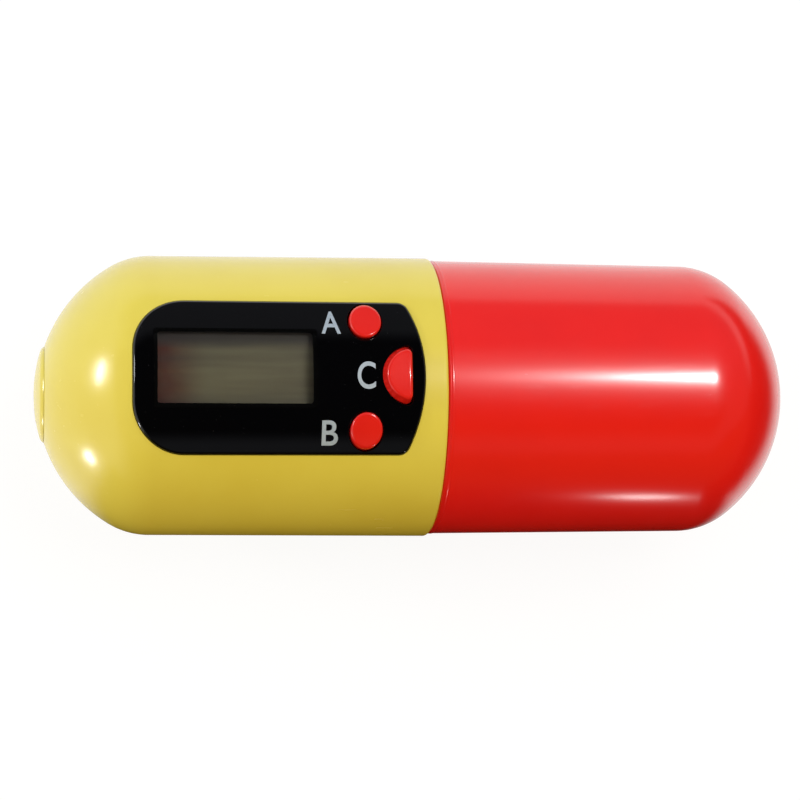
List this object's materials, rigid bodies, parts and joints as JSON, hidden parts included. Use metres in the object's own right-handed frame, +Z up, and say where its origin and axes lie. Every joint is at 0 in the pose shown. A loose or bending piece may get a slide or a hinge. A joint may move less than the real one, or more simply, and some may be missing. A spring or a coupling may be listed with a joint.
{
  "type": "pill box with timer",
  "caption": "Capsule-shaped pill box: a timer half with curved display panel and keys, and a domed pill cup that pulls off its neck.",
  "frame": {"origin": "on the surface that the capsule lies on, under the middle of its length and width", "axes": "+X along the capsule towards the pill cup's pole, +Z up out of the display panel, +Y towards key A"},
  "size_m": [0.108, 0.04, 0.0412],
  "materials": {
    "yellow_shell": "gloss moulded",
    "red_cup": "gloss moulded",
    "red_key": "satin moulded",
    "black_panel": "high gloss",
    "clear_window": "clear polished",
    "display_glass": "satin polariser",
    "grey_rubber": "matte",
    "zebra_rubber": "matte banded",
    "green_board": "satin solder mask",
    "black_potting": "satin",
    "screw_steel": "plated",
    "bright_can": "bright",
    "cell_can": "nickel plated",
    "contact_steel": "plated spring strip",
    "sounder_brass": "satin",
    "sounder_ceramic": "silvered ceramic",
    "lead_insulation": "satin"
  },
  "bodies": {
    "timer": {"timer_shell": "yellow_shell", "front_panel": "black_panel", "display_window": "clear_window", "key_dome_a": "grey_rubber", "key_dome_b": "grey_rubber", "key_dome_c": "grey_rubber", "lcd_display": "display_glass", "zebra_strips": "zebra_rubber", "circuit_board": "green_board", "board_screws": "screw_steel", "controller_blob": "black_potting", "timing_crystal": "bright_can", "buzzer_plate": "sounder_brass", "buzzer_ceramic": "sounder_ceramic", "buzzer_leads": "lead_insulation", "battery_cell_outer": "cell_can", "battery_cell_inner": "cell_can", "battery_contact_negative": "contact_steel", "battery_contact_positive": "contact_steel", "neck_plug": "yellow_shell", "neck_screws": "screw_steel"},
    "key_a": {"button_a": "red_key"},
    "key_b": {"button_b": "red_key"},
    "key_c": {"button_c": "red_key"},
    "cup": {"pill_cup": "red_cup"},
    "cap": {"battery_cap": "yellow_shell"}
  },
  "joints": [
    {"name": "cup_pull", "type": "slide", "parent": "timer", "child": "cup", "axis": [1, 0, 0], "range_m": [0, 0.06]},
    {"name": "key_a_press", "type": "slide", "parent": "timer", "child": "key_a", "axis": [0, 0, -1], "range_m": [0, 0.0006], "stiffness_N_per_m": 800, "deforming": ["key_dome_a"]},
    {"name": "key_b_press", "type": "slide", "parent": "timer", "child": "key_b", "axis": [0, 0, -1], "range_m": [0, 0.0006], "stiffness_N_per_m": 800, "deforming": ["key_dome_b"]},
    {"name": "key_c_press", "type": "slide", "parent": "timer", "child": "key_c", "axis": [0, 0, -1], "range_m": [0, 0.0006], "stiffness_N_per_m": 800, "deforming": ["key_dome_c"]},
    {"name": "cap_lift", "type": "slide", "parent": "timer", "child": "cap", "axis": [-1, 0, 0], "range_m": [0, 0.012]}
  ]
}
